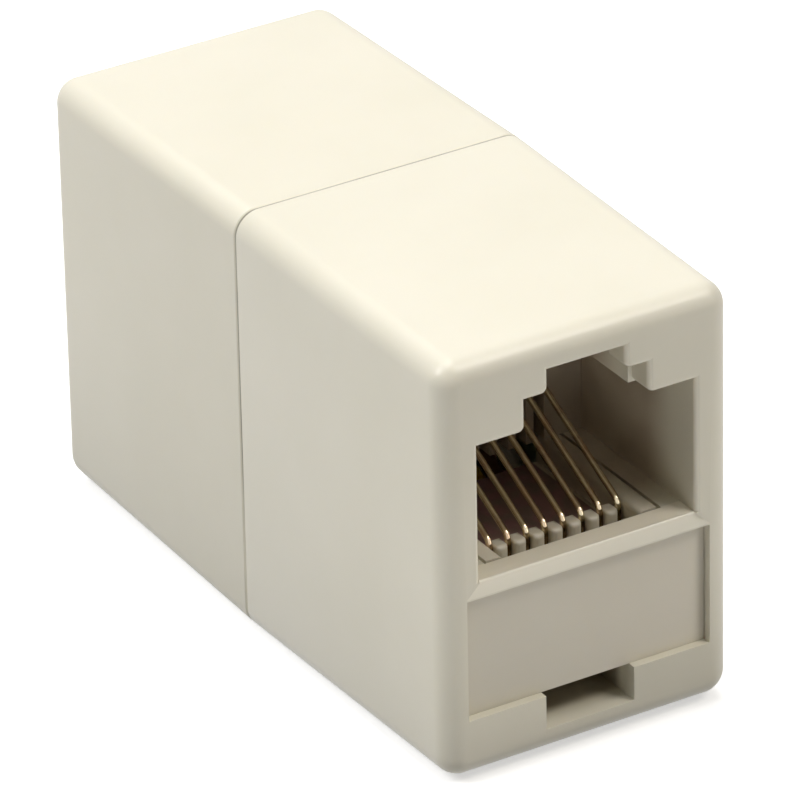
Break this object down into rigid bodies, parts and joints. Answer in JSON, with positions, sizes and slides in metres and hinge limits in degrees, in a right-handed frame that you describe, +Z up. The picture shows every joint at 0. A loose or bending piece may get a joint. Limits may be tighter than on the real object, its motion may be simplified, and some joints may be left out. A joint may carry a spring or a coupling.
{
  "type": "rj45 inline coupler",
  "caption": "In-line coupler with a modular jack at each end, for joining two network patch cables into one straight run.",
  "frame": {"origin": "under the middle of the seam between the halves, at the level of the lowest edge of the base", "axes": "+X across the jack face, +Y along the coupler from the front jack to the rear jack, +Z up, towards the latch side of both jacks"},
  "size_m": [0.0162, 0.0364, 0.0226],
  "materials": {
    "housing_plastic": "moulded ivory ABS, satin gloss",
    "carrier_plastic": "moulded ivory plastic, satin, slightly greyer and more translucent than the housing",
    "contact_gold": "gold-plated phosphor bronze wire, bright",
    "lead_blue": "blue PVC insulation",
    "lead_orange": "orange PVC insulation",
    "lead_black": "black PVC insulation",
    "lead_red": "red PVC insulation",
    "lead_green": "green PVC insulation",
    "lead_yellow": "yellow PVC insulation",
    "lead_brown": "brown PVC insulation",
    "lead_white": "white PVC insulation"
  },
  "bodies": {
    "root": {"housing_front": "housing_plastic", "carrier_front": "carrier_plastic", "contact_front_1": "contact_gold", "contact_front_2": "contact_gold", "contact_front_3": "contact_gold", "contact_front_4": "contact_gold", "contact_front_5": "contact_gold", "contact_front_6": "contact_gold", "contact_front_7": "contact_gold", "contact_front_8": "contact_gold", "housing_rear": "housing_plastic", "carrier_rear": "carrier_plastic", "contact_rear_1": "contact_gold", "contact_rear_2": "contact_gold", "contact_rear_3": "contact_gold", "contact_rear_4": "contact_gold", "contact_rear_5": "contact_gold", "contact_rear_6": "contact_gold", "contact_rear_7": "contact_gold", "contact_rear_8": "contact_gold", "lead_1": "lead_blue", "lead_2": "lead_orange", "lead_3": "lead_black", "lead_4": "lead_red", "lead_5": "lead_green", "lead_6": "lead_yellow", "lead_7": "lead_brown", "lead_8": "lead_white"}
  },
  "joints": []
}
